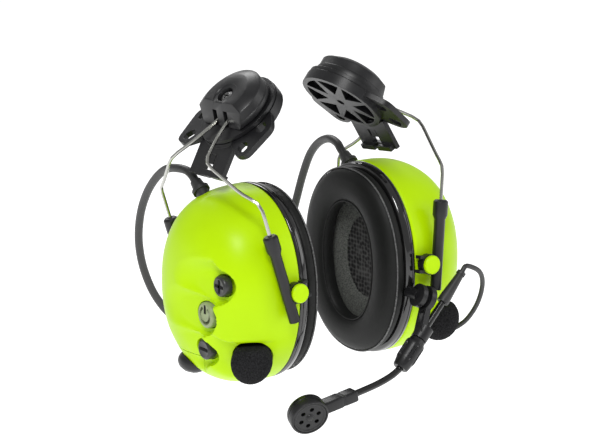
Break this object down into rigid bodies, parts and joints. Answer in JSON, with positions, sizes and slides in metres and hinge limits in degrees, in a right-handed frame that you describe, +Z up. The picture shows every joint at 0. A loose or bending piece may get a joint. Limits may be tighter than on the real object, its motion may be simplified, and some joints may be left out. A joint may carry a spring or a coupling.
{
  "type": "helmet-mounted communication ear muffs",
  "caption": "Ear-muff cups with radio and boom microphone, hung on sprung wire arms from swivelling adapters that clip into a hard hat's side slots.",
  "frame": {"origin": "helmet_seat, the point between the two helmet adapters, 96 mm above the cup centres", "axes": "+X to the wearer's left, -Y ahead of the wearer, +Z up; the object is held at the adapters"},
  "size_m": [0.1755, 0.1867, 0.1874],
  "materials": {
    "hi_vis_shell": "satin high-visibility yellow-green",
    "black_plastic": "fine-textured moulded black",
    "gloss_black": "glossy black",
    "leatherette": "matte leatherette over foam",
    "grey_foam": "open-cell grey foam",
    "black_foam": "open-cell black foam",
    "translucent": "grey-green translucent",
    "rubber": "matte black rubber",
    "board": "green board",
    "wire": "bright spring steel",
    "screw": "dark plated steel",
    "cell": "sleeved metal can"
  },
  "bodies": {
    "adapters": {"right_adapter_base": "black_plastic", "left_adapter_base": "black_plastic"},
    "right_hub": {"right_hub_ring": "black_plastic", "right_hub_cap": "black_plastic", "right_hub_screw": "screw"},
    "right_arm": {"right_front_wire": "wire", "right_rear_wire": "wire"},
    "right_sockets": {"right_front_socket": "black_plastic", "right_rear_socket": "black_plastic"},
    "right_cup": {"right_cup_shell": "hi_vis_shell", "right_base_plate": "gloss_black", "right_cushion": "leatherette", "right_foam_liner": "grey_foam", "right_speaker": "black_plastic", "right_cable_gland": "rubber", "right_windscreen": "black_foam", "right_ambient_mic": "screw", "right_front_pivot_cap": "hi_vis_shell", "right_rear_pivot_cap": "hi_vis_shell", "battery_1": "cell", "battery_2": "cell", "circuit_board": "board", "neck_cable": "rubber"},
    "left_hub": {"left_hub_ring": "black_plastic", "left_hub_cap": "black_plastic", "left_hub_screw": "screw"},
    "left_arm": {"left_front_wire": "wire", "left_rear_wire": "wire"},
    "left_sockets": {"left_front_socket": "black_plastic", "left_rear_socket": "black_plastic"},
    "left_cup": {"left_cup_shell": "hi_vis_shell", "left_base_plate": "gloss_black", "left_cushion": "leatherette", "left_foam_liner": "grey_foam", "left_speaker": "black_plastic", "left_cable_gland": "rubber", "left_windscreen": "black_foam", "left_ambient_mic": "screw", "left_front_pivot_cap": "hi_vis_shell", "left_rear_pivot_cap": "hi_vis_shell", "lead_gland": "rubber", "boom_mount": "black_plastic", "boom_lead": "rubber"},
    "plus_button_body": {"plus_button": "black_plastic"},
    "power_button_body": {"power_button": "translucent"},
    "minus_button_body": {"minus_button": "black_plastic"},
    "talk_button_body": {"talk_button": "black_plastic"},
    "battery_door": {"right_battery_door": "hi_vis_shell", "right_battery_latch": "black_plastic"},
    "boom_fork_body": {"boom_fork": "black_plastic"},
    "boom_nut_body": {"boom_grip_nut": "black_plastic"},
    "boom_arm": {"boom_gooseneck": "black_plastic", "boom_sleeve": "rubber", "mic_neck": "black_plastic", "mic_housing": "black_plastic", "mic_grille": "black_plastic", "mic_insert": "black_foam"}
  },
  "joints": [
    {"name": "right_swivel", "type": "hinge", "parent": "adapters", "child": "right_hub", "pos_m": [-0.03656, 0.01114, -0.0072], "axis": [0.6334, -0.054, -0.772], "range_deg": [-20, 20], "deforming": ["neck_cable"]},
    {"name": "right_vent", "type": "hinge", "parent": "right_hub", "child": "right_arm", "pos_m": [-0.04792, 0.01144, -0.00281], "axis": [0, 0.9925, -0.1219], "range_deg": [-4, 3], "deforming": ["neck_cable"]},
    {"name": "right_height", "type": "slide", "parent": "right_arm", "child": "right_sockets", "axis": [0.2419, -0.1183, -0.9631], "range_m": [0, 0.02], "deforming": ["neck_cable"]},
    {"name": "right_tilt", "type": "hinge", "parent": "right_sockets", "child": "right_cup", "pos_m": [-0.0452, 0, -0.096], "axis": [0, 0.9925, -0.1219], "range_deg": [-6, 6], "deforming": ["neck_cable"]},
    {"name": "left_swivel", "type": "hinge", "parent": "adapters", "child": "left_hub", "pos_m": [0.02818, 0.01089, -0.00675], "axis": [0.6691, 0.1034, 0.7359], "range_deg": [-20, 20], "deforming": ["neck_cable"]},
    {"name": "left_vent", "type": "hinge", "parent": "left_hub", "child": "left_arm", "pos_m": [0.03973, 0.01143, -0.00293], "axis": [0, -0.9925, 0.1219], "range_deg": [-4, 10], "deforming": ["neck_cable"]},
    {"name": "left_height", "type": "slide", "parent": "left_arm", "child": "left_sockets", "axis": [-0.1564, -0.1204, -0.9803], "range_m": [0, 0.02], "deforming": ["neck_cable"]},
    {"name": "left_tilt", "type": "hinge", "parent": "left_sockets", "child": "left_cup", "pos_m": [0.0452, 0, -0.096], "axis": [0, -0.9925, 0.1219], "range_deg": [-6, 6], "deforming": ["neck_cable"]},
    {"name": "plus_press", "type": "slide", "parent": "right_cup", "child": "plus_button_body", "axis": [1, 0, 0], "range_m": [0, 0.0012], "stiffness_N_per_m": 900},
    {"name": "power_press", "type": "slide", "parent": "right_cup", "child": "power_button_body", "axis": [1, 0, 0], "range_m": [0, 0.0012], "stiffness_N_per_m": 900},
    {"name": "minus_press", "type": "slide", "parent": "right_cup", "child": "minus_button_body", "axis": [1, 0, 0], "range_m": [0, 0.0012], "stiffness_N_per_m": 900},
    {"name": "talk_press", "type": "slide", "parent": "left_cup", "child": "talk_button_body", "axis": [-1, 0, 0], "range_m": [0, 0.0015], "stiffness_N_per_m": 1200},
    {"name": "door_slide", "type": "slide", "parent": "right_cup", "child": "battery_door", "axis": [0, 0, -1], "range_m": [0, 0.025]},
    {"name": "boom_swing", "type": "hinge", "parent": "left_cup", "child": "boom_fork_body", "pos_m": [0.0416, -0.0541, -0.1084], "axis": [0.8954, -0.1246, -0.4274], "range_deg": [-12, 18], "deforming": ["boom_lead"]},
    {"name": "boom_slide", "type": "slide", "parent": "boom_fork_body", "child": "boom_arm", "axis": [-0.7217, -0.0868, -0.6867], "range_m": [0, 0.012], "deforming": ["boom_lead"]},
    {"name": "nut_turn", "type": "hinge", "parent": "boom_fork_body", "child": "boom_nut_body", "pos_m": [0.0329, -0.059, -0.1252], "axis": [-0.7217, -0.0868, -0.6867], "range_deg": [0, 90]}
  ]
}
